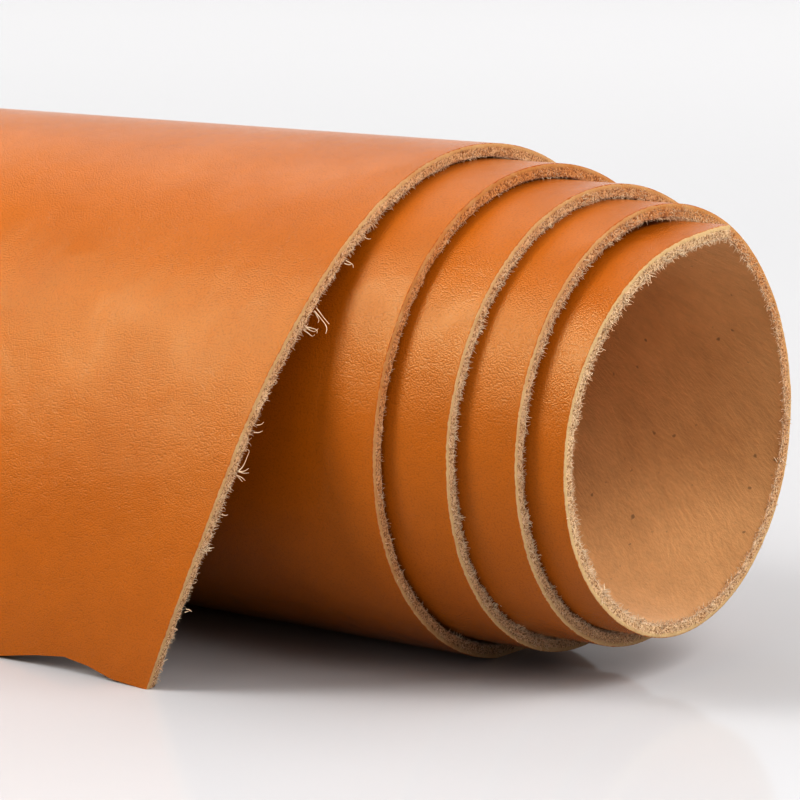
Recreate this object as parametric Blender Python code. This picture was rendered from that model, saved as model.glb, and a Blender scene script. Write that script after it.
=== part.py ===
"""Vegetable-tanned cowhide: one thick piece rolled up grain side out, its loose end hanging down.

The roll lies along X with its mouth at +X.  The hide is wound a little askew, so its cut edge steps
back at each turn.  The outermost turn leaves the roll at the top and hangs to the surface on the -Y side.
"""
import math
from collections import namedtuple

import bmesh
import bpy

MM = 0.001

# The hide as it was cut
HIDE_THICKNESS = 2.8
HIDE_WIDTH = 300.0

# The roll, seen from its mouth: angles turn from +Y up over the top and down the -Y side
AXIS_HEIGHT = 52.5
STEP_DEGREES = 7.5

# The grain side's radius and the near edge's place along X as the hide winds outwards
Turn = namedtuple("Turn", "degrees radius edge")
WINDING = (
    Turn(82.5, 41.2, 3.2),
    Turn(97.5, 40.4, 2.4),
    Turn(120, 40.9, 1.0),
    Turn(180, 41.8, -3.0),
    Turn(270, 42.9, -4.2),
    Turn(360, 44.0, -6.2),
    Turn(450, 44.7, -9.0),
    Turn(540, 45.2, -12.2),
    Turn(630, 46.2, -14.4),
    Turn(720, 47.3, -17.4),
    Turn(810, 47.8, -22.0),
    Turn(900, 48.5, -26.4),
    Turn(990, 49.4, -29.6),
    Turn(1080, 50.5, -34.0),
    Turn(1170, 51.0, -38.0),
    Turn(1260, 51.9, -42.0),
    Turn(1350, 53.0, -45.4),
    Turn(1440, 53.8, -50.0),
    Turn(1530, 54.2, -54.6),
)

# The loose end: its curl fades from the roll's own to a slight one, and its corner is cut back
LOOSE_FROM_DEGREES = 1530
LOOSE_LENGTH = 145.2
LOOSE_STEP = 6.6
CURL_FADE_LENGTH = 120.0
CURL_LEFT = 0.002
SETTLE_POWER = 3
LIFT_POWER = 6

Drop = namedtuple("Drop", "past edge")
LOOSE_EDGE = (
    Drop(0.0, -54.6),
    Drop(42.0, -56.4),
    Drop(72.0, -59.8),
    Drop(102.0, -66.4),
    Drop(122.0, -73.2),
    Drop(LOOSE_LENGTH, -84.0),
)

# The far edge is cut straight and runs askew by the same amount as the near one
FAR_EDGE_START = 3.2 - HIDE_WIDTH
FAR_EDGE_SKEW = 0.0455

# The end cut waves: beside its corner it lifts off the surface and comes down again
Rise = namedtuple("Rise", "inwards lift")
END_CUT = (
    Rise(0.0, 0.0),
    Rise(11.0, 0.5),
    Rise(19.0, 2.3),
    Rise(26.0, 3.1),
    Rise(34.0, 2.4),
    Rise(48.0, 0.0),
    Rise(110.0, 0.0),
    Rise(200.0, 0.0),
    Rise(HIDE_WIDTH, 0.0),
)

HIDE_COLOUR = (0.56, 0.20, 0.035, 1.0)
HIDE_ROUGHNESS = 0.45
SHARP_DEGREES = 40.0

Station = namedtuple("Station", "y z out_y out_z near_edge far_edge lift_share")


def smooth(rows, at):
    """A smooth value for each later column, read between the rows by the first column."""
    last = len(rows) - 2
    index = 0
    while index < last and at > rows[index + 1][0]:
        index += 1
    before = rows[max(index - 1, 0)]
    here, after = rows[index], rows[index + 1]
    beyond = rows[min(index + 2, last + 1)]
    span = after[0] - here[0]
    share = (at - here[0]) / span
    values = []
    for column in range(1, len(here)):
        slope_here = (after[column] - before[column]) / (after[0] - before[0]) * span
        slope_after = (beyond[column] - here[column]) / (beyond[0] - here[0]) * span
        values.append(
            here[column] * (2 * share**3 - 3 * share**2 + 1)
            + slope_here * (share**3 - 2 * share**2 + share)
            + after[column] * (3 * share**2 - 2 * share**3)
            + slope_after * (share**3 - share**2)
        )
    return values


def far_edge(length):
    """The far edge's place along the roll, at a length measured along the hide."""
    return FAR_EDGE_START - FAR_EDGE_SKEW * length


def wound_stations():
    """The grain side of the wound turns, one station for each step of the angle."""
    stations = []
    length = 0.0
    steps = round((LOOSE_FROM_DEGREES - WINDING[0].degrees) / STEP_DEGREES)
    for step in range(steps + 1):
        degrees = WINDING[0].degrees + step * STEP_DEGREES
        radius, edge = smooth(WINDING, degrees)
        angle = math.radians(degrees)
        if step:
            length += radius * math.radians(STEP_DEGREES)
        y = radius * math.cos(angle)
        z = max(AXIS_HEIGHT + radius * math.sin(angle), 0.0)
        stations.append(Station(y, z, math.cos(angle), math.sin(angle), edge, far_edge(length), 0.0))
    return stations, length


def loose_stations(start, length):
    """The loose end, followed from the roll's top along a curl that fades."""
    stations = []
    roll_curl = 1.0 / WINDING[-1].radius
    heading = math.radians(LOOSE_FROM_DEGREES + 90)
    y, z = start.y, start.z
    steps = round(LOOSE_LENGTH / LOOSE_STEP)
    for step in range(1, steps + 1):
        past = step * LOOSE_STEP
        middle = past - LOOSE_STEP / 2
        curl = CURL_LEFT + (roll_curl - CURL_LEFT) * math.exp(-middle / CURL_FADE_LENGTH)
        heading += curl * LOOSE_STEP / 2
        y += LOOSE_STEP * math.cos(heading)
        z += LOOSE_STEP * math.sin(heading)
        heading += curl * LOOSE_STEP / 2
        edge = smooth(LOOSE_EDGE, past)[0]
        out_y, out_z = math.sin(heading), -math.cos(heading)
        stations.append(Station(y, z, out_y, out_z, edge, far_edge(length + past), 0.0))
    return stations


def hide_stations():
    """All stations, with the share of the end cut's lift that each one takes."""
    wound, length = wound_stations()
    loose = loose_stations(wound[-1], length)
    drop = loose[-1].z
    settled = []
    for index, station in enumerate(loose):
        share = (index + 1) / len(loose)
        height = station.z - drop * share**SETTLE_POWER
        settled.append(station._replace(z=height, lift_share=share**LIFT_POWER))
    return wound + settled


def hide_rows(stations):
    """Grain-side and flesh-side points, a row across the hide for each station."""
    rows = []
    for station in stations:
        grain, flesh = [], []
        span = station.near_edge - station.far_edge
        for rise in END_CUT:
            x = station.near_edge - span * rise.inwards / HIDE_WIDTH
            lift = rise.lift * station.lift_share
            grain.append((x, station.y, station.z + lift))
            flesh_y = station.y - HIDE_THICKNESS * station.out_y
            flesh_z = station.z - HIDE_THICKNESS * station.out_z + lift
            flesh.append((x, flesh_y, flesh_z))
        rows.append((grain, flesh))
    return rows


def make_hide():
    """One closed sheet: grain side, flesh side and the four cut edges between them."""
    rows = hide_rows(hide_stations())
    points = [point for row in rows for side in row for point in side]
    middle_x = (min(p[0] for p in points) + max(p[0] for p in points)) / 2
    middle_y = (min(p[1] for p in points) + max(p[1] for p in points)) / 2

    shape = bmesh.new()
    grid = []
    for row in rows:
        sides = []
        for side in row:
            sides.append([shape.verts.new(((x - middle_x) * MM, (y - middle_y) * MM, z * MM)) for x, y, z in side])
        grid.append(sides)

    last = len(END_CUT) - 1
    for (grain, flesh), (next_grain, next_flesh) in zip(grid, grid[1:]):
        for column in range(last):
            shape.faces.new((grain[column], grain[column + 1], next_grain[column + 1], next_grain[column]))
            shape.faces.new((flesh[column], next_flesh[column], next_flesh[column + 1], flesh[column + 1]))
        shape.faces.new((grain[0], next_grain[0], next_flesh[0], flesh[0]))
        shape.faces.new((grain[last], flesh[last], next_flesh[last], next_grain[last]))
    for grain, flesh in (grid[0], grid[-1]):
        for column in range(last):
            shape.faces.new((grain[column], flesh[column], flesh[column + 1], grain[column + 1]))
    bmesh.ops.recalc_face_normals(shape, faces=shape.faces)

    mesh = bpy.data.meshes.new("hide_roll")
    shape.to_mesh(mesh)
    shape.free()
    mesh.shade_smooth()
    mesh.set_sharp_from_angle(angle=math.radians(SHARP_DEGREES))
    return mesh


def hide_material():
    """Oiled tan grain leather."""
    material = bpy.data.materials.new("tan_leather")
    material.use_nodes = True
    shader = material.node_tree.nodes["Principled BSDF"]
    shader.inputs["Base Color"].default_value = HIDE_COLOUR
    shader.inputs["Roughness"].default_value = HIDE_ROUGHNESS
    shader.inputs["Metallic"].default_value = 0.0
    return material


def main():
    """Clear the scene and build the rolled hide."""
    for old in list(bpy.data.objects):
        bpy.data.objects.remove(old, do_unlink=True)
    mesh = make_hide()
    mesh.materials.append(hide_material())
    hide = bpy.data.objects.new("hide_roll", mesh)
    bpy.context.scene.collection.objects.link(hide)


main()
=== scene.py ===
"""Rolled vegetable-tanned cowhide: the fine sheet, its cut edges and their fibres, and a plain stage.

The hide's form is worked out in millimetres from its own place: X runs along the roll, Y is 0 at the
roll's axis and Z is 0 at the surface.  to_part() turns that into the part's frame, in metres.
"""
import math
from collections import namedtuple

import bpy
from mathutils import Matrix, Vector, noise


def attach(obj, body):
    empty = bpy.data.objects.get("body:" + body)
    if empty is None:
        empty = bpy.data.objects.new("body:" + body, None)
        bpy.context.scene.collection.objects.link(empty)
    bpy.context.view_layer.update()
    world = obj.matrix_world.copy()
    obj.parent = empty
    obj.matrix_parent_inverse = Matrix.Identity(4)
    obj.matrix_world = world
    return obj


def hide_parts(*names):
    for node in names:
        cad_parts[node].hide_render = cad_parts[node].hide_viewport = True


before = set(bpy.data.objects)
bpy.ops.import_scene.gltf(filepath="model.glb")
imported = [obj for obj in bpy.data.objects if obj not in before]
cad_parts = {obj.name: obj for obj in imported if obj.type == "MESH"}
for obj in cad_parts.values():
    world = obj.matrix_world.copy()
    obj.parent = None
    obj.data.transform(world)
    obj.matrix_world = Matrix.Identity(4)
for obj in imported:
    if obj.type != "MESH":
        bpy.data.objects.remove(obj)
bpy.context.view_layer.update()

bl_info = {
    "name": "Rolled cowhide",
    "version": (1, 0, 0),
    "blender": (4, 5, 0),
    "location": "View3D > Sidebar > Cowhide",
    "description": "Dresses the rolled hide with its grain, flesh side, cut edges and loose fibres",
    "category": "Object",
}

MM = 0.001

# The hide's form, as in its solid
HIDE_WIDTH = 300.0
AXIS_HEIGHT = 52.5
AXIS_IN_PART = Vector((177.596, 9.447, 0.0))

Turn = namedtuple("Turn", "degrees radius edge")
WINDING = (
    Turn(82.5, 41.2, 3.2),
    Turn(97.5, 40.4, 2.4),
    Turn(120, 40.9, 1.0),
    Turn(180, 41.8, -3.0),
    Turn(270, 42.9, -4.2),
    Turn(360, 44.0, -6.2),
    Turn(450, 44.7, -9.0),
    Turn(540, 45.2, -12.2),
    Turn(630, 46.2, -14.4),
    Turn(720, 47.3, -17.4),
    Turn(810, 47.8, -22.0),
    Turn(900, 48.5, -26.4),
    Turn(990, 49.4, -29.6),
    Turn(1080, 50.5, -34.0),
    Turn(1170, 51.0, -38.0),
    Turn(1260, 51.9, -42.0),
    Turn(1350, 53.0, -45.4),
    Turn(1440, 53.8, -50.0),
    Turn(1530, 54.2, -54.6),
)
LOOSE_FROM_DEGREES = 1530
LOOSE_LENGTH = 145.2
CURL_FADE_LENGTH = 120.0
CURL_LEFT = 0.002
SETTLE_POWER = 3
LIFT_POWER = 6

Drop = namedtuple("Drop", "past edge")
LOOSE_EDGE = (
    Drop(0.0, -54.6),
    Drop(42.0, -56.4),
    Drop(72.0, -59.8),
    Drop(102.0, -66.4),
    Drop(122.0, -73.2),
    Drop(LOOSE_LENGTH, -84.0),
)
FAR_EDGE_START = 3.2 - HIDE_WIDTH
FAR_EDGE_SKEW = 0.0455

Rise = namedtuple("Rise", "inwards lift")
END_CUT = (
    Rise(0.0, 0.0),
    Rise(11.0, 0.5),
    Rise(19.0, 2.3),
    Rise(26.0, 3.1),
    Rise(34.0, 2.4),
    Rise(48.0, 0.0),
    Rise(110.0, 0.0),
    Rise(200.0, 0.0),
    Rise(HIDE_WIDTH, 0.0),
)

# Soft troughs and ridges in the loose end: where, how long and wide, which way they run, how deep
Trough = namedtuple("Trough", "past inwards length width slant depth")
TROUGHS = (
    Trough(62.0, 62.0, 34.0, 7.0, 40.0, -0.35),
    Trough(70.0, 52.0, 26.0, 6.0, 52.0, 0.22),
    Trough(96.0, 88.0, 40.0, 10.0, 20.0, -0.40),
    Trough(118.0, 30.0, 30.0, 9.0, 65.0, -0.30),
    Trough(40.0, 130.0, 60.0, 14.0, 8.0, -0.45),
    Trough(84.0, 170.0, 46.0, 12.0, 30.0, 0.40),
    Trough(110.0, 230.0, 50.0, 13.0, 15.0, -0.45),
)

# The loose end's near edge flares outwards a little
FLARE = 1.0
FLARE_REACH = 16.0

# Slow swells of the whole hide and of its loose end: how high, how long along and across, and a seed
Swell = namedtuple("Swell", "height along across seed")
HIDE_SWELL = Swell(0.05, 30.0, 45.0, 4.0)
LOOSE_SWELL = Swell(0.25, 42.0, 36.0, 9.0)
LOOSE_EASE = 40.0

# How the knife's line strays, and how the fibres gather: how far, over what length, and a seed
Waver = namedtuple("Waver", "reach length seed")
KNIFE_WAVERS = (Waver(0.20, 30.0, 1), Waver(0.07, 8.0, 2), Waver(0.035, 2.2, 3))
CLUMP_WAVERS = (Waver(0.6, 4.0, 0), Waver(0.5, 1.1, 1))
KNIFE_REACH = 5.0

# The torn fibres' roughness: its length along the hide, its count through the cut, its share, a seed
Tear = namedtuple("Tear", "length count share seed")
TEARS = (Tear(0.9, 2.6, 1.0, 0.0), Tear(2.6, 1.5, 0.8, 20.0))
NEAR_TEAR_SEED = 5.0
FAR_TEAR_SEED = 45.0

# Seeds read the noise far apart, and the gain brings it to about -1 to 1
SEED_STEP = (7.31, 3.17)
NOISE_GAIN = 1.6

# How the cut has worn along the hide: how thickly fibres stand, and how far the dye has soaked in
Wear = namedtuple("Wear", "length fibres soak")
CUT_WEAR = (
    Wear(0.0, 1.1, 0.0),
    Wear(70.0, 1.0, 0.0),
    Wear(137.0, 1.0, 0.1),
    Wear(205.0, 0.9, 0.45),
    Wear(260.0, 1.0, 0.75),
    Wear(300.0, 1.0, 0.45),
    Wear(343.0, 1.0, 0.05),
    Wear(415.0, 1.0, 0.1),
    Wear(488.0, 0.8, 0.5),
    Wear(550.0, 0.9, 0.6),
    Wear(600.0, 1.0, 0.25),
    Wear(637.0, 1.0, 0.05),
    Wear(714.0, 0.9, 0.15),
    Wear(792.0, 0.7, 0.5),
    Wear(860.0, 0.5, 0.7),
    Wear(900.0, 0.32, 0.8),
    Wear(951.0, 0.30, 0.65),
    Wear(1010.0, 0.45, 0.35),
    Wear(1117.0, 0.8, 0.5),
    Wear(1208.0, 0.5, 0.45),
    Wear(1262.0, 0.7, 0.25),
    Wear(1354.0, 0.8, 0.2),
)

# How finely the sheet is made
FINE_DEGREES = 0.9
LOOSE_STEPS = 190
ACROSS = (
    *(0.0, 0.6, 1.6, 3.2, 6.0, 11.0, 18.5, 26.0),
    *(35.0, 50.0, 85.0, 135.0, 200.0, 260.0, 298.8, HIDE_WIDTH),
)

# The cut through the thickness, from the grain side (0) to the flesh side (1)
Layer = namedtuple("Layer", "share stand rough")
CUT_LAYERS = (
    Layer(0.0, -0.14, 0.04),
    Layer(0.08, 0.0, 0.05),
    Layer(0.24, 0.02, 0.08),
    Layer(0.42, -0.06, 0.20),
    Layer(0.60, -0.02, 0.24),
    Layer(0.76, -0.05, 0.28),
    Layer(0.90, -0.02, 0.28),
    Layer(1.0, -0.22, 0.26),
)

# Where fibres stand beside a cut: which row of points, how far they lean off the flesh side, how thickly
Seeds = namedtuple("Seeds", "side index outward off_flesh crowd")
NAP_SEEDS = (
    Seeds("cut", 2, 1.0, 0.0, 0.15),
    Seeds("cut", 3, 1.0, 0.1, 0.7),
    Seeds("cut", 5, 1.0, 0.3, 1.0),
    Seeds("cut", 6, 0.9, 0.6, 1.0),
)
RIM_SEEDS = (
    Seeds("cut", 6, 0.8, 0.7, 0.7),
    Seeds("cut", 7, 0.6, 1.0, 1.0),
    Seeds("flesh", 1, 0.25, 1.0, 0.8),
)

# How few fibres a clump may leave, how far the fibres reach, and where they stand up in longer tufts
FEWEST = 0.25
REACH_MIDDLE = 0.85
REACH_WAVER = Waver(0.25, 6.0, 1)
WORN_REACH = 0.6
TUFT_LENGTH = 2.6
TUFT_FROM = 0.62
TUFT_GAIN = 2.3
NEAR_CLUMP_SEED, FAR_CLUMP_SEED = 6, 26
NEAR_REACH_SEED, FAR_REACH_SEED = 16, 36

# Long torn strands on the loose end's cut: each point's way outwards, off the flesh side and along
Strand = namedtuple("Strand", "past points")
STRANDS = (
    Strand(42.2, ((0.0, -0.2, 0.0), (0.6, 0.5, -0.2), (1.0, 0.8, -0.6))),
    Strand(49.2, ((0.0, -0.2, 0.0), (0.8, 0.5, 0.0), (1.5, 0.7, 0.3), (1.9, 0.7, 0.9))),
    Strand(49.8, ((0.0, -0.2, 0.0), (0.7, 0.5, -0.3), (1.2, 0.8, -0.8))),
    Strand(61.6, ((0.0, -0.2, 0.0), (1.2, 0.6, 0.8), (2.9, 1.2, 2.0), (3.5, 1.5, 2.8), (3.6, 1.7, 3.8))),
    Strand(61.2, ((0.0, -0.2, 0.0), (0.8, 0.7, 0.6), (1.9, 1.1, 1.4), (3.3, 1.4, 2.3), (3.7, 1.3, 2.5))),
    Strand(62.2, ((0.0, -0.2, 0.0), (0.7, 0.5, 0.8), (1.2, 0.8, 1.4), (1.3, 0.8, 2.1))),
    Strand(65.9, ((0.0, -0.2, 0.0), (1.0, 0.6, -0.2), (2.1, 1.0, -0.1), (2.3, 1.2, 0.5))),
    Strand(65.6, ((0.0, -0.2, 0.0), (0.8, 0.5, 0.3), (1.8, 0.9, 0.3), (2.4, 0.9, -0.4))),
    Strand(66.3, ((0.0, -0.2, 0.0), (0.7, 0.6, 0.2), (1.5, 1.2, 0.5), (2.2, 1.0, 0.2))),
    Strand(89.7, ((0.0, -0.2, 0.0), (0.6, 0.6, -0.2), (1.2, 1.0, -0.7))),
    Strand(88.2, ((0.0, -0.2, 0.0), (0.5, 0.5, -0.4), (0.8, 0.8, -1.0))),
    Strand(97.9, ((0.0, -0.2, 0.0), (0.2, 0.8, -1.3), (0.1, 1.6, -3.1), (0.0, 2.1, -4.4), (0, 1.2, -4.7))),
    Strand(97.6, ((0.0, -0.2, 0.0), (0.8, 0.7, -0.3), (1.4, 1.2, -1.0))),
    Strand(98.0, ((0.0, -0.2, 0.0), (0.9, 0.6, 0.1), (1.8, 1.0, -0.1))),
    Strand(98.4, ((0.0, -0.2, 0.0), (0.9, 0.4, 0.3), (1.6, 0.8, 0.8))),
    Strand(98.9, ((0.0, -0.2, 0.0), (0.6, 0.3, 0.6), (1.2, 0.5, 1.1))),
    Strand(107.3, ((0.0, -0.2, 0.0), (0.5, 0.4, 0.1), (0.9, 0.7, -0.1))),
    Strand(127.6, ((0.0, -0.2, 0.0), (0.5, 0.4, 0.2), (0.8, 0.7, 0.6))),
    Strand(128.4, ((0.0, -0.2, 0.0), (0.4, 0.5, -0.2), (0.8, 0.8, -0.3))),
)
STRAND_SIDES = 5
STRAND_STEPS = 7
STRAND_TAPER = 0.55

Station = namedtuple("Station", "y z out_y out_z near far length past lift")


def smooth(rows, at):
    """A smooth value for each later column, read between the rows by the first column."""
    last = len(rows) - 2
    index = 0
    while index < last and at > rows[index + 1][0]:
        index += 1
    before = rows[max(index - 1, 0)]
    here, after = rows[index], rows[index + 1]
    beyond = rows[min(index + 2, last + 1)]
    span = after[0] - here[0]
    share = (at - here[0]) / span
    values = []
    for column in range(1, len(here)):
        slope_here = (after[column] - before[column]) / (after[0] - before[0]) * span
        slope_after = (beyond[column] - here[column]) / (beyond[0] - here[0]) * span
        values.append(
            here[column] * (2 * share**3 - 3 * share**2 + 1)
            + slope_here * (share**3 - 2 * share**2 + share)
            + after[column] * (3 * share**2 - 2 * share**3)
            + slope_after * (share**3 - share**2)
        )
    return values


def straight(rows, at):
    """The second column, read along straight lines between the rows by the first column."""
    for here, after in zip(rows, rows[1:]):
        if at <= after[0]:
            return here[1] + (after[1] - here[1]) * (at - here[0]) / (after[0] - here[0])
    return rows[-1][1]


def to_part(x, y, z):
    """A point of the hide's own place, in millimetres, as a point of the part, in metres."""
    return ((x + AXIS_IN_PART.x) * MM, (y + AXIS_IN_PART.y) * MM, z * MM)


def wander(value, wavelength, seed):
    """Smooth seeded noise along a line, about -1 to 1."""
    return noise.noise(Vector((value / wavelength, seed * SEED_STEP[0], seed * SEED_STEP[1]))) * NOISE_GAIN


def wavering(wavers, length, seed=0, middle=0.0):
    """A middle value with every waver added, at a length along the hide."""
    value = middle
    for waver in wavers:
        value += waver.reach * wander(length, waver.length, seed + waver.seed)
    return value


def far_edge(length):
    """The far edge's place along the roll, at a length measured along the hide."""
    return FAR_EDGE_START - FAR_EDGE_SKEW * length


def wound_stations():
    """The grain side of the wound turns, one station for each fine step of the angle."""
    stations = []
    length = 0.0
    first = WINDING[0].degrees
    steps = round((LOOSE_FROM_DEGREES - first) / FINE_DEGREES)
    step_degrees = (LOOSE_FROM_DEGREES - first) / steps
    for step in range(steps + 1):
        degrees = first + step * step_degrees
        radius, edge = smooth(WINDING, degrees)
        angle = math.radians(degrees)
        if step:
            length += radius * math.radians(step_degrees)
        y = radius * math.cos(angle)
        z = max(AXIS_HEIGHT + radius * math.sin(angle), 0.0)
        out_y, out_z = math.cos(angle), math.sin(angle)
        stations.append(Station(y, z, out_y, out_z, edge, far_edge(length), length, 0.0, 0.0))
    return stations


def loose_stations(start):
    """The loose end: it follows a curl that fades from the roll's top, and settles on the surface."""
    stations = []
    roll_curl = 1.0 / WINDING[-1].radius
    heading = math.radians(LOOSE_FROM_DEGREES + 90)
    y, z = start.y, start.z
    step_length = LOOSE_LENGTH / LOOSE_STEPS
    for step in range(1, LOOSE_STEPS + 1):
        past = step * step_length
        middle = past - step_length / 2
        curl = CURL_LEFT + (roll_curl - CURL_LEFT) * math.exp(-middle / CURL_FADE_LENGTH)
        heading += curl * step_length / 2
        y += step_length * math.cos(heading)
        z += step_length * math.sin(heading)
        heading += curl * step_length / 2
        edge = smooth(LOOSE_EDGE, past)[0]
        length = start.length + past
        out_y, out_z = math.sin(heading), -math.cos(heading)
        stations.append(Station(y, z, out_y, out_z, edge, far_edge(length), length, past, 0.0))
    drop = stations[-1].z
    settled = []
    for index, station in enumerate(stations):
        share = (index + 1) / len(stations)
        height = station.z - drop * share**SETTLE_POWER
        settled.append(station._replace(z=height, lift=share**LIFT_POWER))
    return settled


def hide_stations():
    """Every station of the hide, from its inner end to the loose end's cut."""
    wound = wound_stations()
    return wound + loose_stations(wound[-1])


def trough_depth(past, inwards):
    """How far the loose end's troughs and ridges stand out of its even curve."""
    depth = 0.0
    for trough in TROUGHS:
        slant = math.radians(trough.slant)
        along = (past - trough.past) * math.cos(slant) + (inwards - trough.inwards) * math.sin(slant)
        across = (inwards - trough.inwards) * math.cos(slant) - (past - trough.past) * math.sin(slant)
        depth += trough.depth * math.exp(-((along / trough.length) ** 2) - (across / trough.width) ** 2)
    return depth


def swell_height(swell, length, inwards):
    """How high a slow swell stands at a place on the flat hide."""
    return swell.height * noise.noise(Vector((length / swell.along, inwards / swell.across, swell.seed)))


def uneven(station, inwards):
    """The hide's own unevenness, outwards from its even form."""
    height = swell_height(HIDE_SWELL, station.length, inwards)
    if station.past:
        ease = min(station.past / LOOSE_EASE, 1.0)
        height += FLARE * (station.past / LOOSE_LENGTH) * math.exp(-inwards / FLARE_REACH)
        height += ease * trough_depth(station.past, inwards)
        height += ease * swell_height(LOOSE_SWELL, station.length, inwards)
    return height


def ragged(length):
    """How far the knife's line strays along the roll, at a length along the hide."""
    return wavering(KNIFE_WAVERS, length)


def cut_point(length, layer, seed):
    """How far one point of a cut stands out, with the torn fibres' roughness."""
    torn = 0.0
    for tear in TEARS:
        place = Vector((length / tear.length, layer.share * tear.count, seed + tear.seed))
        torn += tear.share * noise.noise(place)
    return layer.stand + layer.rough * torn


class SheetPlan:
    """The fine sheet's points, faces, and what the leathers read at each point."""

    GRAIN, FLESH, CUT = range(3)

    def __init__(self, thickness):
        self.thickness = thickness / MM
        self.points = []
        self.layout = []
        self.shares = []
        self.soaks = []
        self.faces = []
        self.skins = []

    def point(self, x, y, z, station, inwards, share):
        """A new point, with what the leathers read there."""
        self.points.append(to_part(x, y, max(z, 0.0)))
        self.layout.append((station.length * MM, inwards * MM))
        self.shares.append(share)
        self.soaks.append(soaked(station))
        return len(self.points) - 1

    def face(self, corners, skin):
        """A new face of the grain side, the flesh side or a cut."""
        self.faces.append(corners)
        self.skins.append(skin)

    def across_point(self, station, inwards, share, stand=0.0):
        """A point between grain side and flesh side, at a place across the hide."""
        span = station.near - station.far
        fade = max(0.0, 1.0 - inwards / KNIFE_REACH) ** 2
        x = station.near - span * inwards / HIDE_WIDTH + fade * ragged(station.length) + stand
        depth = self.thickness * share - uneven(station, inwards)
        lift = straight(END_CUT, inwards) * station.lift
        y = station.y - depth * station.out_y
        z = station.z - depth * station.out_z + lift
        return self.point(x, y, z, station, inwards, share)

    def ring(self, station):
        """One station's points: both sides across the hide, and both edges' cuts."""
        last = len(CUT_LAYERS) - 1
        sides = []
        for share, layer in ((0.0, CUT_LAYERS[0]), (1.0, CUT_LAYERS[last])):
            near_stand = cut_point(station.length, layer, NEAR_TEAR_SEED)
            far_stand = -cut_point(station.length, layer, FAR_TEAR_SEED)
            row = []
            for inwards in ACROSS:
                stand = near_stand if inwards == 0 else far_stand if inwards == HIDE_WIDTH else 0.0
                row.append(self.across_point(station, inwards, share, stand))
            sides.append(row)
        grain, flesh = sides
        near, far = [grain[0]], [grain[-1]]
        for layer in CUT_LAYERS[1:last]:
            stand = cut_point(station.length, layer, NEAR_TEAR_SEED)
            near.append(self.across_point(station, 0.0, layer.share, stand))
            stand = -cut_point(station.length, layer, FAR_TEAR_SEED)
            far.append(self.across_point(station, HIDE_WIDTH, layer.share, stand))
        near.append(flesh[0])
        far.append(flesh[-1])
        return grain, flesh, near, far

    def join(self, here, after):
        """The faces between two stations' rings."""
        grain, flesh, near, far = here
        next_grain, next_flesh, next_near, next_far = after
        for j in range(len(ACROSS) - 1):
            self.face((grain[j], grain[j + 1], next_grain[j + 1], next_grain[j]), self.GRAIN)
            self.face((flesh[j], next_flesh[j], next_flesh[j + 1], flesh[j + 1]), self.FLESH)
        for k in range(len(CUT_LAYERS) - 1):
            self.face((near[k], next_near[k], next_near[k + 1], near[k + 1]), self.CUT)
            self.face((next_far[k], far[k], far[k + 1], next_far[k + 1]), self.CUT)

    def close_end(self, station, ring, first):
        """The cut across the hide's inner end or its loose end."""
        grain, flesh, near, far = ring
        last = len(CUT_LAYERS) - 1
        rows = [near]
        for j in range(1, len(ACROSS) - 1):
            row = [grain[j]]
            for layer in CUT_LAYERS[1:last]:
                row.append(self.across_point(station, ACROSS[j], layer.share))
            row.append(flesh[j])
            rows.append(row)
        rows.append(far)
        for row, after in zip(rows, rows[1:]):
            for k in range(last):
                corners = (row[k], after[k], after[k + 1], row[k + 1])
                self.face(corners[::-1] if first else corners, self.CUT)

    def build(self):
        """Makes all points and faces, and gives the stations and their rings."""
        stations = hide_stations()
        rings = [self.ring(station) for station in stations]
        for here, after in zip(rings, rings[1:]):
            self.join(here, after)
        self.close_end(stations[0], rings[0], True)
        self.close_end(stations[-1], rings[-1], False)
        return stations, rings


def mesh_from(name, points, faces):
    """A mesh from the given points and faces, in the order given."""
    mesh = bpy.data.meshes.new(name)
    mesh.from_pydata(points, [], faces)
    mesh.update()
    return mesh


def put_in_scene(name, mesh):
    """A new object for the mesh, in the scene, at the origin."""
    piece = bpy.data.objects.new(name, mesh)
    bpy.context.scene.collection.objects.link(piece)
    return piece


def write_point_values(mesh, name, values):
    """A float attribute on the mesh's points."""
    attribute = mesh.attributes.new(name, "FLOAT", "POINT")
    attribute.data.foreach_set("value", values)


def write_layout(mesh, name, places):
    """A UV map whose units are metres along and across the flat hide."""
    layer = mesh.uv_layers.new(name=name)
    flat = []
    for loop in mesh.loops:
        flat.extend(places[loop.vertex_index])
    layer.uv.foreach_set("vector", flat)


class NodeMaker:
    """Adds and joins nodes in one tree."""

    def __init__(self, tree):
        self.tree = tree

    def node(self, kind, settings=None, **inputs):
        """A node with its settings, and inputs given by name as values or sockets."""
        made = self.tree.nodes.new(kind)
        for name, value in (settings or {}).items():
            setattr(made, name, value)
        for name, value in inputs.items():
            self.feed(made.inputs[name.replace("_", " ")], value)
        return made

    def feed(self, socket, value):
        """Joins a socket to an input, or sets the input's own value."""
        if isinstance(value, bpy.types.NodeSocket):
            self.tree.links.new(value, socket)
        else:
            socket.default_value = value

    def math(self, operation, first, second=0.0):
        """One sum of two numbers or sockets."""
        made = self.node("ShaderNodeMath", {"operation": operation})
        self.feed(made.inputs[0], first)
        self.feed(made.inputs[1], second)
        return made.outputs[0]


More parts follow.
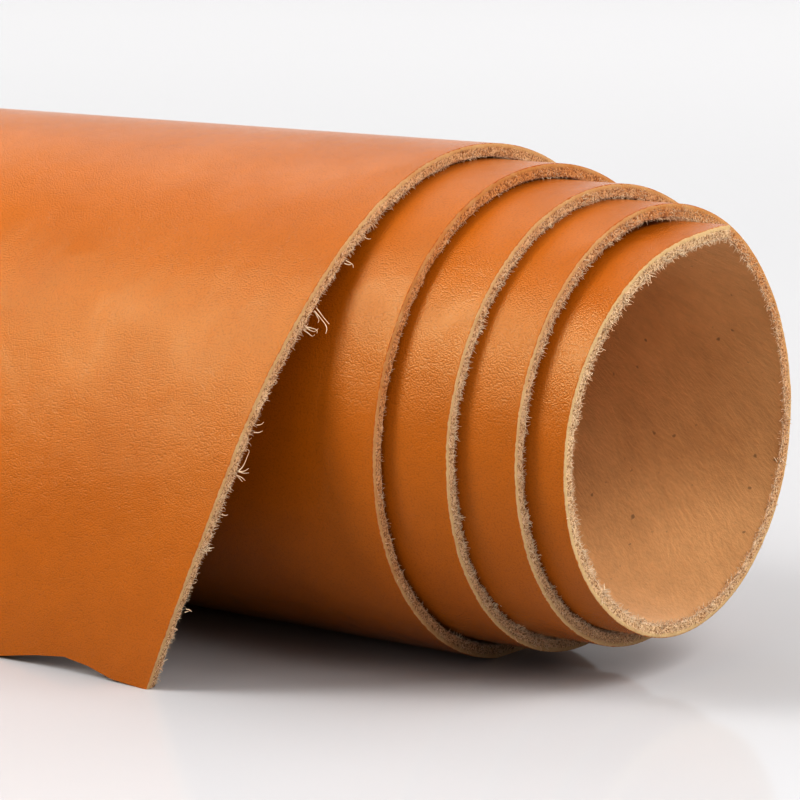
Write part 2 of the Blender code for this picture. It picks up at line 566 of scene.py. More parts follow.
class Painter(NodeMaker):
    """Adds and joins nodes in one material; its patterns are 2-D on a UV map or 3-D on the object."""

    def __init__(self, name, space="3D"):
        self.space = space
        self.material = bpy.data.materials.get(name) or bpy.data.materials.new(name)
        self.material.use_nodes = True
        super().__init__(self.material.node_tree)
        self.tree.nodes.clear()
        self.output = self.tree.nodes.new("ShaderNodeOutputMaterial")

    def mix(self, factor, first, second, blend="MIX"):
        """Two colours, blended by a factor."""
        settings = {"data_type": "RGBA", "blend_type": blend}
        made = self.node("ShaderNodeMix", settings, Factor=factor)
        self.feed(made.inputs["A"], first)
        self.feed(made.inputs["B"], second)
        return made.outputs["Result"]

    def ramp(self, factor, *stops):
        """A colour ramp: each stop is its place and its colour or grey."""
        made = self.tree.nodes.new("ShaderNodeValToRGB")
        self.feed(made.inputs["Fac"], factor)
        elements = made.color_ramp.elements
        while len(elements) < len(stops):
            elements.new(0.5)
        for element, (place, colour) in zip(elements, stops):
            element.position = place
            element.color = colour if hasattr(colour, "__len__") else (colour, colour, colour, 1.0)
        return made.outputs["Color"]

    def noise(self, vector, per_metre, detail=2.0, roughness=0.5):
        """Soft noise, by its count per metre."""
        inputs = {"Vector": vector, "Scale": per_metre, "Detail": detail, "Roughness": roughness}
        return self.node("ShaderNodeTexNoise", {"noise_dimensions": self.space}, **inputs).outputs["Fac"]

    def cells(self, vector, per_metre, feature="F1", jitter=1.0):
        """The distance to the middle of the nearest cell, by the cells' count per metre."""
        settings = {"feature": feature, "voronoi_dimensions": self.space}
        inputs = {"Vector": vector, "Scale": per_metre, "Randomness": jitter}
        return self.node("ShaderNodeTexVoronoi", settings, **inputs).outputs["Distance"]

    def stretch(self, vector, scale, turn):
        """A pattern's place, stretched and turned."""
        inputs = {"Vector": vector, "Scale": scale, "Rotation": turn}
        return self.node("ShaderNodeMapping", {"vector_type": "TEXTURE"}, **inputs).outputs["Vector"]

    def bump(self, height, distance, strength, normal=None):
        """The surface's normal, tilted by a height that is up to a distance in metres."""
        made = self.node("ShaderNodeBump", Strength=strength, Distance=distance, Height=height)
        if normal is not None:
            self.feed(made.inputs["Normal"], normal)
        return made.outputs["Normal"]

    def finish(self, **inputs):
        """Ends the material in one shader with the given inputs."""
        shader = self.node("ShaderNodeBsdfPrincipled", **inputs)
        self.tree.links.new(shader.outputs["BSDF"], self.output.inputs["Surface"])
        return self.material


# The grain's finish: its pebbles' jitter and depth, the fine creases between them, the slow swell,
# and how much duller or shinier its clouds are
PEBBLE_JITTER = 0.9
PEBBLE_DEPTH = 0.00014
CREASE_COUNT = 1.9
CREASE_SHARE = 0.40
SWELL_DEPTH = 0.0010
CLOUD_SHINE = 0.04
CLOUD_DULLNESS = 0.05

# The flesh side's nap: how it is stretched and turned, and how deep it lies
NAP_STRETCH = (1.0, 2.6, 1.0)
NAP_TURN = (0.0, 0.0, -0.75)
NAP_DEPTH = 0.00015
TUFT_SHARE = 0.8

# The raw cut: how far its layers and its soaked patches stray, how deep its threads lie, and the painted shade
# in the hollows between its threads and in its small holes
LAYER_STRAY = 0.16
SOAK_STRAY = 0.9
THREAD_DEPTH = 0.00022
PAINTED_THREAD_HOLLOW_SHADE = (0.42, 0.31, 0.20, 1.0)
PAINTED_PIT_SHADE = (0.60, 0.50, 0.38, 1.0)


def grain_leather(looks):
    """Oiled tan grain: fine pebbles with painted shade in the hollows between them, a slow swell, faint
    cloudiness and a soft shine.
    """
    paint = Painter("grain_leather", "2D")
    place = paint.node("ShaderNodeUVMap", {"uv_map": "hide"}).outputs["UV"]
    pebbles = paint.cells(place, looks.pebble_count, "SMOOTH_F1", PEBBLE_JITTER)
    creases = paint.noise(place, looks.pebble_count * CREASE_COUNT, 2.0, 0.6)
    swell = paint.noise(place, 130.0, 2.0, 0.5)
    cloud = paint.noise(place, 24.0, 2.0, 0.5)
    mottle = paint.noise(place, 160.0, 3.0, 0.6)
    worn = paint.noise(place, 45.0, 2.0, 0.6)

    colour = paint.mix(paint.ramp(cloud, (0.2, 0.0), (0.8, 1.0)), looks.grain_deep, looks.grain_light)
    freckled = paint.ramp(mottle, (0.25, 0.94), (0.75, 1.0))
    colour = paint.mix(1.0, colour, freckled, "MULTIPLY")
    # Painted shade: the colour is darkened in the hollows between the pebbles
    painted_valley_shade = paint.ramp(pebbles, (0.30, 1.0), (0.75, 0.82))
    colour = paint.mix(1.0, colour, painted_valley_shade, "MULTIPLY")

    normal = paint.bump(swell, SWELL_DEPTH, 0.22)
    height = paint.math("SUBTRACT", paint.math("MULTIPLY", creases, CREASE_SHARE), pebbles)
    height = paint.math("MULTIPLY", height, paint.ramp(worn, (0.3, 0.55), (0.6, 1.0)))
    normal = paint.bump(height, PEBBLE_DEPTH, 0.62, normal)
    rough = paint.node("ShaderNodeMapRange", Value=cloud)
    rough.inputs["To Min"].default_value = looks.grain_roughness - CLOUD_SHINE
    rough.inputs["To Max"].default_value = looks.grain_roughness + CLOUD_DULLNESS
    return paint.finish(
        Base_Color=colour,
        Roughness=rough.outputs["Result"],
        Normal=normal,
        Specular_IOR_Level=0.32,
        Specular_Tint=(0.78, 1.0, 0.62, 1.0),
    )


def flesh_suede(looks):
    """The napped flesh side: short streaky fibres and a few dark specks."""
    paint = Painter("flesh_suede", "2D")
    place = paint.node("ShaderNodeUVMap", {"uv_map": "hide"}).outputs["UV"]
    slanted = paint.stretch(place, NAP_STRETCH, NAP_TURN)
    nap = paint.noise(slanted, 1300.0, 3.0, 0.65)
    tufts = paint.noise(slanted, 330.0, 3.0, 0.6)
    cloud = paint.noise(place, 30.0, 3.0, 0.6)
    specks = paint.noise(place, 420.0, 1.0, 0.5)

    colour = paint.mix(paint.ramp(cloud, (0.3, 0.0), (0.7, 1.0)), looks.flesh_deep, looks.flesh_light)
    colour = paint.mix(1.0, colour, paint.ramp(tufts, (0.32, 0.93), (0.60, 1.0)), "MULTIPLY")
    colour = paint.mix(1.0, colour, paint.ramp(nap, (0.3, 0.93), (0.65, 1.0)), "MULTIPLY")
    colour = paint.mix(1.0, colour, paint.ramp(specks, (0.15, 0.55), (0.215, 1.0)), "MULTIPLY")
    height = paint.math("ADD", paint.math("MULTIPLY", tufts, TUFT_SHARE), nap)
    return paint.finish(
        Base_Color=colour,
        Roughness=0.95,
        Normal=paint.bump(height, NAP_DEPTH, 0.8),
        Specular_IOR_Level=0.15,
        Sheen_Weight=0.25,
        Sheen_Roughness=0.5,
    )


def cut_edge(looks):
    """The raw cut: dyed skin at the grain side, a pale firm line, then open fibres speckled with painted shade
    in their hollows and small holes.
    """
    paint = Painter("cut_edge")
    share = paint.node("ShaderNodeAttribute", {"attribute_name": "cut_share"}).outputs["Fac"]
    soak = paint.node("ShaderNodeAttribute", {"attribute_name": "dye_soak"}).outputs["Fac"]
    place = paint.node("ShaderNodeTexCoord").outputs["Object"]
    threads = paint.noise(place, 2100.0, 2.0, 0.7)
    pit_cells = paint.cells(place, 1700.0)
    tangles = paint.noise(place, 900.0, 2.0, 0.6)
    blotches = paint.noise(place, 260.0, 2.0, 0.6)
    stray = paint.math("MULTIPLY", paint.math("SUBTRACT", tangles, 0.5), LAYER_STRAY)
    strayed = paint.math("ADD", share, stray)
    colour = paint.ramp(
        strayed,
        (0.0, looks.grain_light),
        (0.05, looks.cut_line),
        (0.25, looks.cut_line),
        (0.38, looks.cut_middle),
        (0.78, looks.cut_middle),
        (0.94, looks.cut_flesh),
    )
    stray = paint.math("MULTIPLY", paint.math("SUBTRACT", blotches, 0.5), SOAK_STRAY)
    patchy = paint.math("ADD", soak, stray)
    tanned = paint.mix(1.0, colour, looks.cut_tan, "MULTIPLY")
    colour = paint.mix(paint.ramp(patchy, (0.05, 0.0), (0.85, 1.0)), colour, tanned)
    # Painted shade: the colour darkens in the hollows between the threads and in small holes of the open zone
    deep = paint.ramp(threads, (0.38, PAINTED_THREAD_HOLLOW_SHADE), (0.53, 1.0))
    painted_hollow_shade = paint.mix(1.0, deep, paint.ramp(pit_cells, (0.12, PAINTED_PIT_SHADE), (0.4, 1.0)), "MULTIPLY")
    open_zone = paint.ramp(strayed, (0.22, 0.0), (0.36, 1.0))
    colour = paint.mix(open_zone, colour, paint.mix(1.0, colour, painted_hollow_shade, "MULTIPLY"))
    height = paint.math("ADD", threads, tangles)
    return paint.finish(
        Base_Color=colour,
        Roughness=0.9,
        Normal=paint.bump(height, THREAD_DEPTH, 0.7),
        Specular_IOR_Level=0.2,
    )


def loose_fibre(looks):
    """Pale collagen fibres."""
    paint = Painter("loose_fibre")
    place = paint.node("ShaderNodeTexCoord").outputs["Object"]
    shade = paint.noise(place, 700.0, 1.0, 0.5)
    colour = paint.mix(paint.ramp(shade, (0.35, 0.0), (0.65, 1.0)), looks.fibre_tan, looks.fibre_pale)
    return paint.finish(Base_Color=colour, Roughness=0.75, Specular_IOR_Level=0.3)


class Grower(NodeMaker):
    """Adds and joins nodes in one Geometry Nodes tree."""

    def __init__(self, name):
        super().__init__(bpy.data.node_groups.new(name, "GeometryNodeTree"))
        for in_out in ("INPUT", "OUTPUT"):
            self.tree.interface.new_socket("Geometry", in_out=in_out, socket_type="NodeSocketGeometry")

    def size(self, name, kind, default=None):
        """A named input of the tree."""
        socket = self.tree.interface.new_socket(name, in_out="INPUT", socket_type=kind)
        if default is not None:
            socket.default_value = default
            socket.min_value = type(default)(0)

    def open(self):
        """The tree's own inputs, as sockets."""
        return self.tree.nodes.new("NodeGroupInput").outputs

    def attribute(self, name, kind="FLOAT"):
        """A value that the strip carries at each of its points."""
        made = self.node("GeometryNodeInputNamedAttribute", {"data_type": kind}, Name=name)
        return made.outputs["Attribute"]

    def random(self, low, high, seed, offset):
        """A random number for each point."""
        made = self.node("FunctionNodeRandomValue", {"data_type": "FLOAT"})
        self.feed(made.inputs[2], low)
        self.feed(made.inputs[3], high)
        self.feed(made.inputs["Seed"], self.math("ADD", seed, float(offset)))
        return made.outputs[1]

    def random_turn(self, low, high, seed, offset):
        """A random rotation for each point."""
        made = self.node("FunctionNodeRandomValue", {"data_type": "FLOAT_VECTOR"})
        self.feed(made.inputs[0], low)
        self.feed(made.inputs[1], high)
        self.feed(made.inputs["Seed"], self.math("ADD", seed, float(offset)))
        return made.outputs[0]

    def close(self, geometry):
        """Ends the tree in its output."""
        leave = self.tree.nodes.new("NodeGroupOutput")
        self.feed(leave.inputs[0], geometry)
        return self.tree


# Each fibre shape is a bent line one unit long: its middle and its tip, sideways and upwards
Bend = namedtuple("Bend", "middle_side middle_up tip_side tip_up")
BENDS = (
    Bend(0.05, 0.55, 0.16, 1.0),
    Bend(0.24, 0.50, 0.10, 0.95),
    Bend(-0.10, 0.70, 0.45, 0.80),
    Bend(0.34, 0.40, 0.50, 0.90),
)


# The draws that are taken for each fibre, and how its length and its taper run
SPIN_DRAW, TILT_DRAW, LENGTH_DRAW, SHAPE_DRAW = 3, 5, 7, 11
SHORTEST = 0.45
LENGTH_POWER = 1.6
FIBRE_TAPER = 0.6
FIBRE_ROOT = (0.0, 0.0, -0.1)


def fibre_shapes(grow, radius):
    """The bent tubes to choose from, one unit long."""
    ring = grow.node("GeometryNodeCurvePrimitiveCircle", {"mode": "RADIUS"}, Resolution=3, Radius=1.0)
    shapes = grow.node("GeometryNodeGeometryToInstance")
    for bend in reversed(BENDS):
        line = grow.node(
            "GeometryNodeCurveQuadraticBezier",
            Resolution=3,
            Start=FIBRE_ROOT,
            Middle=(bend.middle_side, 0.0, bend.middle_up),
            End=(bend.tip_side, 0.0, bend.tip_up),
        )
        along = grow.node("GeometryNodeSplineParameter").outputs["Factor"]
        taper = grow.math("SUBTRACT", 1.0, grow.math("MULTIPLY", along, FIBRE_TAPER))
        tube = grow.node(
            "GeometryNodeCurveToMesh",
            Curve=line.outputs["Curve"],
            Profile_Curve=ring.outputs["Curve"],
            Scale=grow.math("MULTIPLY", taper, radius),
        )
        grow.tree.links.new(tube.outputs["Mesh"], shapes.inputs[0])
    return shapes.outputs[0]


def fibre_turn(grow, seed, tilt):
    """Each fibre's turn: the strip's way, spun about itself and then tilted."""
    point = grow.node("FunctionNodeAlignRotationToVector", {"axis": "Z"})
    grow.feed(point.inputs["Vector"], grow.attribute("way", "FLOAT_VECTOR"))
    turn = point.outputs[0]
    spin = grow.random_turn((0.0, 0.0, -math.pi), (0.0, 0.0, math.pi), seed, SPIN_DRAW)
    lean = grow.node("ShaderNodeCombineXYZ", Y=grow.random(0.0, tilt, seed, TILT_DRAW)).outputs[0]
    for step in (spin, lean):
        turned = grow.node("FunctionNodeRotateRotation", {"rotation_space": "LOCAL"}, Rotation=turn)
        grow.feed(turned.inputs["Rotate By"], step)
        turn = turned.outputs[0]
    return turn


def fibre_tree(name):
    """Fibres on a strip: spread at random, of uneven length and shape, and turned the strip's way."""
    grow = Grower(name)
    grow.size("Fibres Per Square Metre", "NodeSocketFloat", 1.0e6)
    grow.size("Length", "NodeSocketFloat", 0.001)
    grow.size("Thickness", "NodeSocketFloat", 0.0001)
    grow.size("Tilt", "NodeSocketFloat", 0.8)
    grow.size("Seed", "NodeSocketInt", 1)
    grow.size("Fibre Material", "NodeSocketMaterial")
    given = grow.open()
    seed = given["Seed"]
    crowd = grow.math("MULTIPLY", given["Fibres Per Square Metre"], grow.attribute("fuzz"))
    spread = grow.node(
        "GeometryNodeDistributePointsOnFaces",
        {"distribute_method": "RANDOM"},
        Mesh=given["Geometry"],
        Density=crowd,
        Seed=seed,
    )

    # Thickness is divided by length, because each shape is one unit long before it is scaled
    radius = grow.math("DIVIDE", given["Thickness"], grow.math("MULTIPLY", given["Length"], 2.0))
    uneven_length = grow.math("POWER", grow.random(0.0, 1.0, seed, LENGTH_DRAW), LENGTH_POWER)
    length = grow.math("MULTIPLY", given["Length"], grow.math("ADD", SHORTEST, uneven_length))
    pick = grow.node("FunctionNodeRandomValue", {"data_type": "INT"})
    grow.feed(pick.inputs[4], 0)
    grow.feed(pick.inputs[5], len(BENDS) - 1)
    grow.feed(pick.inputs["Seed"], grow.math("ADD", seed, float(SHAPE_DRAW)))
    stand = grow.node(
        "GeometryNodeInstanceOnPoints",
        Points=spread.outputs["Points"],
        Instance=fibre_shapes(grow, radius),
        Pick_Instance=True,
        Instance_Index=pick.outputs[2],
        Rotation=fibre_turn(grow, seed, given["Tilt"]),
        Scale=grow.math("MULTIPLY", length, grow.attribute("reach")),
    )
    real = grow.node("GeometryNodeRealizeInstances", Geometry=stand.outputs["Instances"])
    painted = grow.node("GeometryNodeSetMaterial", Geometry=real.outputs["Geometry"])
    grow.feed(painted.inputs["Material"], given["Fibre Material"])
    return grow.close(painted.outputs["Geometry"])


def grown(host, tree, values):
    """Runs the tree on the host strip and gives the result as a plain mesh; the host is removed."""
    modifier = host.modifiers.new("fibres", "NODES")
    modifier.node_group = tree
    for item in tree.interface.items_tree:
        if item.in_out == "INPUT" and item.name in values:
            modifier[item.identifier] = values[item.name]
    bpy.context.view_layer.update()
    graph = bpy.context.evaluated_depsgraph_get()
    mesh = bpy.data.meshes.new_from_object(host.evaluated_get(graph), depsgraph=graph)
    host.modifiers.remove(modifier)
    strip = host.data
    bpy.data.objects.remove(host, do_unlink=True)
    bpy.data.meshes.remove(strip)
    if not mesh.polygons:
        raise RuntimeError(f"{tree.name} grew no fibres")
    return mesh


def soaked(station):
    """How far the dye has soaked into the cut."""
    return smooth(CUT_WEAR, station.length)[1]


def clumps(length, seed):
    """How the fibres gather and thin out along a cut, about 0 to 2."""
    gathered = wavering(CLUMP_WAVERS, length, seed, 1.0)
    return max(FEWEST, gathered) * smooth(CUT_WEAR, length)[0]


def reaches(length, seed):
    """How far the fibres reach along a cut: mostly short, with a few longer tufts."""
    tuft = max(0.0, wander(length, TUFT_LENGTH, seed) - TUFT_FROM) * TUFT_GAIN
    reach = REACH_MIDDLE + REACH_WAVER.reach * wander(length, REACH_WAVER.length, seed + REACH_WAVER.seed)
    return (reach + tuft) * (WORN_REACH + (1.0 - WORN_REACH) * smooth(CUT_WEAR, length)[0])


def growth_way(station, outward, off_flesh):
    """A direction beside the cut: outwards along the roll, and off the flesh side."""
    return Vector((outward, -off_flesh * station.out_y, -off_flesh * station.out_z)).normalized()


def seed_strip(plan, stations, rings, near, rows):
    """A strip of a cut's points, with how thickly, how long and which way fibres grow at each."""
    points, faces, fuzz, reach, ways = [], [], [], [], []
    for station, (_, flesh, near_cut, far_cut) in zip(stations, rings):
        flesh_row = flesh if near else flesh[::-1]
        cut_row = near_cut if near else far_cut
        clump = clumps(station.length, NEAR_CLUMP_SEED if near else FAR_CLUMP_SEED)
        length = reaches(station.length, NEAR_REACH_SEED if near else FAR_REACH_SEED)
        for row in rows:
            chosen = flesh_row[row.index] if row.side == "flesh" else cut_row[row.index]
            points.append(plan.points[chosen])
            fuzz.append(row.crowd * clump)
            reach.append(length)
            ways.extend(growth_way(station, row.outward if near else -row.outward, row.off_flesh))
    wide = len(rows)
    for i in range(len(stations) - 1):
        for k in range(wide - 1):
            here = i * wide + k
            corners = (here, here + wide, here + wide + 1, here + 1)
            faces.append(corners if near else corners[::-1])
    mesh = mesh_from("seed_strip", points, faces)
    write_point_values(mesh, "fuzz", fuzz)
    write_point_values(mesh, "reach", reach)
    mesh.attributes.new("way", "FLOAT_VECTOR", "POINT").data.foreach_set("vector", ways)
    return put_in_scene("seed_strip", mesh)


def curve_points(points, steps):
    """Points on a smooth curve through the given ones."""
    ends = [points[0] * 2 - points[1], *points, points[-1] * 2 - points[-2]]
    found = []
    for before, here, after, beyond in zip(ends, ends[1:], ends[2:], ends[3:]):
        for step in range(steps):
            t = step / steps
            found.append(
                0.5
                * (
                    2 * here
                    + (after - before) * t
                    + (2 * before - 5 * here + 4 * after - beyond) * t**2
                    + (3 * here - before - 3 * after + beyond) * t**3
                )
            )
    found.append(points[-1])
    return found


def strand_mesh(stations, thickness, breadth):
    """The long torn strands, as closed tapering tubes."""
    points, faces = [], []
    loose = [station for station in stations if station.past]
    for strand in STRANDS:
        station = min(loose, key=lambda each: abs(each.past - strand.past))
        inward = Vector((0.0, -station.out_y, -station.out_z))
        down = Vector((0.0, -station.out_z, station.out_y))
        foot = Vector((station.near + ragged(station.length), station.y, station.z)) + inward * thickness
        line = []
        for out, off, run in strand.points:
            line.append(foot + Vector((out, 0.0, 0.0)) + inward * off + down * run)
        line = curve_points(line, STRAND_STEPS)
        first = len(points)
        for index, place in enumerate(line):
            before, after = line[max(index - 1, 0)], line[min(index + 1, len(line) - 1)]
            facing = (after - before).to_track_quat("Z", "Y")
            radius = breadth / 2 * (1.0 - STRAND_TAPER * index / (len(line) - 1))
            for side in range(STRAND_SIDES):
                angle = math.tau * side / STRAND_SIDES
                spoke = facing @ Vector((math.cos(angle) * radius, math.sin(angle) * radius, 0.0))
                points.append(to_part(*(place + spoke)))
        for index in range(len(line) - 1):
            low = first + index * STRAND_SIDES
            for side in range(STRAND_SIDES):
                beside = (side + 1) % STRAND_SIDES
                high = low + STRAND_SIDES
                faces.append((low + side, low + beside, high + beside, high + side))
        faces.append(tuple(first + side for side in reversed(range(STRAND_SIDES))))
        faces.append(tuple(len(points) - STRAND_SIDES + side for side in range(STRAND_SIDES)))
    return mesh_from("loose_strands", points, faces)


def colour_property(name, description, default):
    """A colour that a user may change."""
    return bpy.props.FloatVectorProperty(
        name=name, description=description, subtype="COLOR", size=4, min=0.0, max=1.0, default=default
    )


def length_property(name, description, default):
    """A small length in metres that a user may change."""
    return bpy.props.FloatProperty(
        name=name, description=description, default=default, unit="LENGTH", precision=5
    )


class HideSizes(bpy.types.PropertyGroup):
    """Sizes of the hide."""

    thickness: bpy.props.FloatProperty(
        name="Thickness", description="Thickness of the leather",
        default=0.0028, unit="LENGTH", precision=4,
    )


class HideLooks(bpy.types.PropertyGroup):
    """Colours and finish of the leather."""

    grain_deep: colour_property(
        "Deep grain", "Darker tone of the grain side", (0.398, 0.1030, 0.0014, 1.0)
    )
    grain_light: colour_property(
        "Light grain", "Lighter tone of the grain side", (0.436, 0.1195, 0.0022, 1.0)
    )
    flesh_deep: colour_property(
        "Deep flesh", "Darker tone of the flesh side", (0.67, 0.373, 0.157, 1.0)
    )
    flesh_light: colour_property(
        "Light flesh", "Lighter tone of the flesh side", (0.80, 0.47, 0.212, 1.0)
    )
    cut_line: colour_property("Cut line", "Pale firm line under the grain", (0.60, 0.42, 0.22, 1.0))
    cut_middle: colour_property("Cut middle", "Open fibres inside the cut", (0.69, 0.485, 0.295, 1.0))
    cut_tan: colour_property(
        "Soaked cut", "Tint of the cut where the dye has soaked in", (0.82, 0.535, 0.32, 1.0)
    )
    cut_flesh: colour_property(
        "Cut at the flesh", "Fibres at the cut's flesh side", (0.71, 0.54, 0.385, 1.0)
    )
    fibre_pale: colour_property(
        "Pale fibre", "Lighter tone of the loose fibres", (0.82, 0.66, 0.47, 1.0)
    )
    fibre_tan: colour_property("Tan fibre", "Darker tone of the loose fibres", (0.75, 0.51, 0.32, 1.0))
    grain_roughness: bpy.props.FloatProperty(
        name="Grain roughness", description="How dull the grain side is",
        default=0.200, min=0.0, max=1.0,
    )
    pebble_count: bpy.props.FloatProperty(
        name="Pebbles per metre", description="How fine the grain's pebbles are",
        default=2600.0, min=1.0,
    )


class FibreSizes(bpy.types.PropertyGroup):
    """Sizes of the fibres on the cut edges."""

    nap_crowd: bpy.props.FloatProperty(
        name="Nap per square metre", description="How thickly the cut's nap grows",
        default=5.5e6, min=0.0,
    )
    nap_length: length_property("Nap length", "Length of a fibre in the cut's nap", 0.00072)
    rim_crowd: bpy.props.FloatProperty(
        name="Bristles per square metre", description="How thickly the rim's bristles grow",
        default=1.3e7, min=0.0,
    )
    rim_length: length_property("Bristle length", "Length of a bristle on the rim", 0.00092)
    breadth: length_property("Fibre thickness", "Thickness of a short fibre", 0.00018)
    strand_breadth: length_property("Strand thickness", "Thickness of a torn strand", 0.00030)
    seed: bpy.props.IntProperty(name="Seed", description="Seed of the fibres' places", default=0, min=0)


class StageSettings(bpy.types.PropertyGroup):
    """Camera, floor and lights."""

    lens: bpy.props.FloatProperty(
        name="Lens", description="Focal length in millimetres", default=161.1, subtype="DISTANCE_CAMERA"
    )
    distance: bpy.props.FloatProperty(
        name="Distance", description="From the camera to what it looks at", default=0.765, unit="LENGTH"
    )
    azimuth: bpy.props.FloatProperty(
        name="Azimuth", description="Turn of the camera round the roll",
        default=math.radians(38.6), subtype="ANGLE",
    )
    elevation: bpy.props.FloatProperty(
        name="Elevation", description="Height angle of the camera",
        default=math.radians(9.24), subtype="ANGLE",
    )
    floor_colour: colour_property("Floor", "Colour of the floor", (0.52, 0.517, 0.523, 1.0))


class MakeHide(bpy.types.Operator):
    """Make the rolled hide as one fine sheet with its grain side, flesh side and cut edges"""

    bl_idname = "cowhide.make_hide"
    bl_label = "Make hide"

    def execute(self, context):
        scene = context.scene
        looks = scene.hide_looks
        plan = SheetPlan(scene.hide_sizes.thickness)
        stations, rings = plan.build()
        mesh = mesh_from("hide_sheet", plan.points, plan.faces)
        mesh.polygons.foreach_set("material_index", plan.skins)
        write_layout(mesh, "hide", plan.layout)
        write_point_values(mesh, "cut_share", plan.shares)
        write_point_values(mesh, "dye_soak", plan.soaks)
        for material in (grain_leather(looks), flesh_suede(looks), cut_edge(looks)):
            mesh.materials.append(material)
        mesh.shade_smooth()
        mesh.set_sharp_from_angle(angle=math.radians(50))
        piece = put_in_scene("hide_sheet", mesh)
        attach(piece, "root")
        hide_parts("hide_roll")
        return {"FINISHED"}


class MakeFibres(bpy.types.Operator):
    bl_idname = "cowhide.make_fibres"
    bl_label = "Make fibres"

    def execute(self, context):
        piece = bpy.data.objects.get("hide_sheet")
        if piece is None:
            raise RuntimeError("the hide is made before its fibres")
        plan = SheetPlan(context.scene.hide_sizes.thickness)
        stations, rings = plan.build()
        fibres = grow_fibres(context.scene, plan, stations, rings)
        for fibre in fibres:
            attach(fibre, "root")
        return {"FINISHED"}


FAR_SHARE = 0.4


def grow_fibres(scene, plan, stations, rings):
    """The nap in both long cuts, the bristles on their flesh-side rims, and the loose end's strands."""
    sizes = scene.fibre_sizes
    material = loose_fibre(scene.hide_looks)
    tree = fibre_tree("cut_fibres")
    pieces = []
    for name, near, rows, crowd, length, tilt, seed in (
        ("near_nap", True, NAP_SEEDS, sizes.nap_crowd, sizes.nap_length, 1.1, 11),
        ("near_bristles", True, RIM_SEEDS, sizes.rim_crowd, sizes.rim_length, 0.75, 51),
        ("far_nap", False, NAP_SEEDS, sizes.nap_crowd * FAR_SHARE, sizes.nap_length, 1.1, 91),
        ("far_bristles", False, RIM_SEEDS, sizes.rim_crowd * FAR_SHARE, sizes.rim_length, 0.75, 131),
    ):
        host = seed_strip(plan, stations, rings, near, rows)
        values = {
            "Fibres Per Square Metre": crowd,
            "Length": length,
            "Thickness": sizes.breadth,
            "Tilt": tilt,
            "Seed": sizes.seed + seed,
            "Fibre Material": material,
        }
        mesh = grown(host, tree, values)
        mesh.name = name
        mesh.shade_smooth()
        pieces.append(put_in_scene(name, mesh))
    strands = strand_mesh(stations, plan.thickness, sizes.strand_breadth / MM)
    strands.materials.append(material)
    strands.shade_smooth()
    pieces.append(put_in_scene("loose_strands", strands))
    return pieces


class MakeStage(bpy.types.Operator):
    """Make the camera, the plain pale floor and the soft lights"""

    bl_idname = "cowhide.make_stage"
    bl_label = "Make stage"

    def execute(self, context):
        scene = context.scene
        settings = scene.stage_settings
        make_camera(scene, settings)
        make_floor(settings)
        make_lights(scene)
        return {"FINISHED"}


CAMERA_TARGET = (-76.7, 0.0, 50.6)
FLOOR_HALF = 4.0


def make_camera(scene, settings):
    """The camera, aimed at the roll from the side of its mouth."""
    target = Vector(to_part(*CAMERA_TARGET))
    turn, height = settings.azimuth, settings.elevation
    back = Vector((math.sin(turn) * math.cos(height), -math.cos(turn) * math.cos(height), math.sin(height)))
    data = bpy.data.cameras.new("camera")
    data.lens = settings.lens
    data.clip_start = 0.01
    data.clip_end = 50.0
    camera = bpy.data.objects.new("camera", data)
    camera.location = target + back * settings.distance
    camera.rotation_euler = (-back).to_track_quat("-Z", "Y").to_euler()
    scene.collection.objects.link(camera)
    scene.camera = camera


def make_floor(settings):
    """A wide plain floor with a faint gloss."""
    half = FLOOR_HALF
    corners = [(-half, -half, 0.0), (half, -half, 0.0), (half, half, 0.0), (-half, half, 0.0)]
    mesh = mesh_from("floor", corners, [(0, 1, 2, 3)])
    paint = Painter("floor")
    mesh.materials.append(
        paint.finish(Base_Color=tuple(settings.floor_colour), Roughness=0.08, Specular_IOR_Level=0.035)
    )
    floor = put_in_scene("floor", mesh)


# Each soft light: its turn round the roll, its height angle, how far, how wide and high, how strong,
# and how wide its beam; the ones that face down light the floor
Softbox = namedtuple("Softbox", "name azimuth elevation distance width height watts spread faces_down")
SOFTBOXES = (
    Softbox("key_softbox", -39.0, 36.0, 1.10, 0.34, 0.72, 9.6, 180.0, False),
    Softbox("low_softbox", -40.0, 9.0, 1.10, 0.40, 0.20, 0.8, 180.0, False),
    Softbox("high_softbox", -49.0, 42.0, 1.10, 0.32, 0.34, 2.3, 180.0, False),
    Softbox("side_softbox", -70.0, 54.0, 1.10, 0.42, 0.30, 0.75, 180.0, False),
    Softbox("back_softbox", -116.0, 44.0, 1.10, 0.55, 0.34, 1.15, 180.0, False),
    Softbox("front_softbox", -5.0, 24.0, 1.40, 0.70, 0.80, 1.6, 180.0, False),
    Softbox("mouth_softbox", 76.0, 37.0, 1.40, 0.70, 0.80, 11.0, 180.0, False),
    Softbox("right_softbox", 108.0, 45.0, 1.40, 0.70, 0.60, 7.8, 180.0, False),
    Softbox("back_right_softbox", 150.0, 26.0, 2.60, 1.60, 0.90, 17.0, 180.0, False),
    Softbox("rear_softbox", -142.0, 15.5, 3.00, 3.40, 2.10, 12.3, 180.0, False),
    Softbox("far_floor_light", -142.0, 39.0, 2.55, 3.60, 2.50, 28.0, 80.0, True),
)
LIT_POINT = (-70.0, 0.0, 50.0)


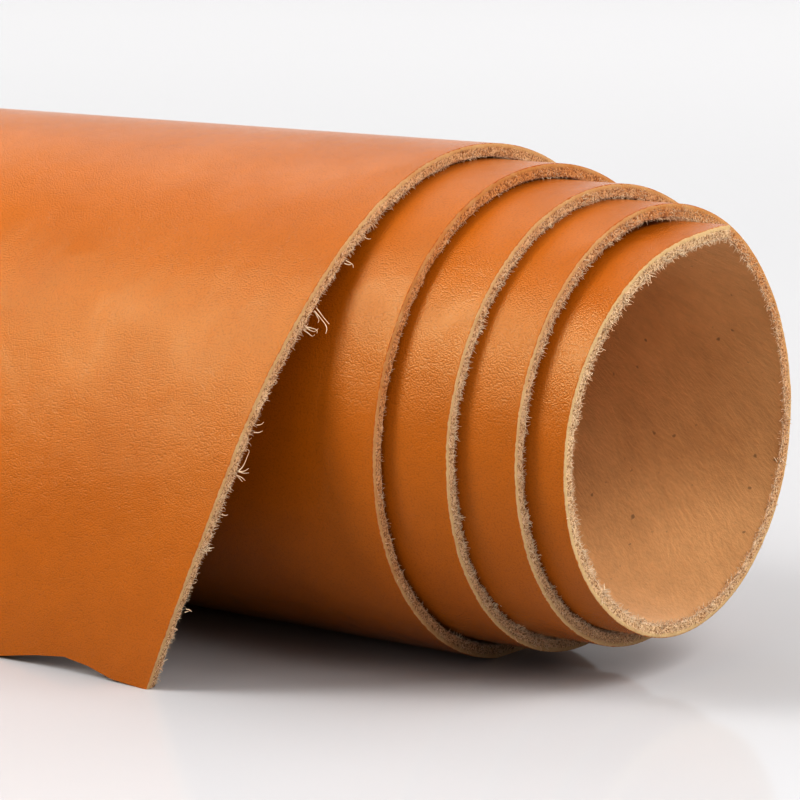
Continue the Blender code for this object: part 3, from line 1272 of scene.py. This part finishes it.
def make_lights(scene):
    """Soft lights round the roll and a pale surrounding."""
    aim = Vector(to_part(*LIT_POINT))
    for box in SOFTBOXES:
        data = bpy.data.lights.new(box.name, "AREA")
        data.shape = "RECTANGLE"
        data.size, data.size_y = box.width, box.height
        data.energy = box.watts
        data.spread = math.radians(box.spread)
        light = bpy.data.objects.new(box.name, data)
        turn, height = math.radians(box.azimuth), math.radians(box.elevation)
        way = Vector((math.sin(turn) * math.cos(height), -math.cos(turn) * math.cos(height), math.sin(height)))
        light.location = aim + way * box.distance
        light.rotation_euler = (-way).to_track_quat("-Z", "Y").to_euler()
        if box.faces_down:
            light.rotation_euler = (0.0, 0.0, turn)
        light.visible_camera = False
        scene.collection.objects.link(light)
    world = scene.world or bpy.data.worlds.new("surrounding")
    scene.world = world
    world.use_nodes = True
    background = world.node_tree.nodes["Background"]
    background.inputs["Color"].default_value = (1.0, 0.985, 0.985, 1.0)
    background.inputs["Strength"].default_value = 0.41
    scene.view_settings.view_transform = "Standard"
    scene.view_settings.gamma = 0.8


class CowhidePanel(bpy.types.Panel):
    """Lists the hide's sizes, colours and makers"""

    bl_idname = "VIEW3D_PT_cowhide"
    bl_label = "Cowhide"
    bl_space_type = "VIEW_3D"
    bl_region_type = "UI"
    bl_category = "Cowhide"

    def draw(self, context):
        layout = self.layout
        for group in GROUPS:
            settings = getattr(context.scene, group)
            box = layout.box()
            for name in settings.__annotations__:
                box.prop(settings, name)
        for maker in MAKERS:
            layout.operator(maker.bl_idname)


GROUPS = {
    "hide_sizes": HideSizes,
    "hide_looks": HideLooks,
    "fibre_sizes": FibreSizes,
    "stage_settings": StageSettings,
}
MAKERS = (MakeStage, MakeHide, MakeFibres)


def register():
    """Registers the classes and their properties."""
    for group in GROUPS.values():
        bpy.utils.register_class(group)
    for maker in MAKERS:
        bpy.utils.register_class(maker)
    bpy.utils.register_class(CowhidePanel)
    for name, group in GROUPS.items():
        setattr(bpy.types.Scene, name, bpy.props.PointerProperty(type=group))


def unregister():
    """Removes what register() added."""
    for name in GROUPS:
        delattr(bpy.types.Scene, name)
    bpy.utils.unregister_class(CowhidePanel)
    for maker in reversed(MAKERS):
        bpy.utils.unregister_class(maker)
    for group in reversed(GROUPS.values()):
        bpy.utils.unregister_class(group)


def main():
    """Makes the stage, the hide and its fibres."""
    register()
    bpy.ops.cowhide.make_stage()
    bpy.ops.cowhide.make_hide()
    bpy.ops.cowhide.make_fibres()


if __name__ == "__main__":
    main()
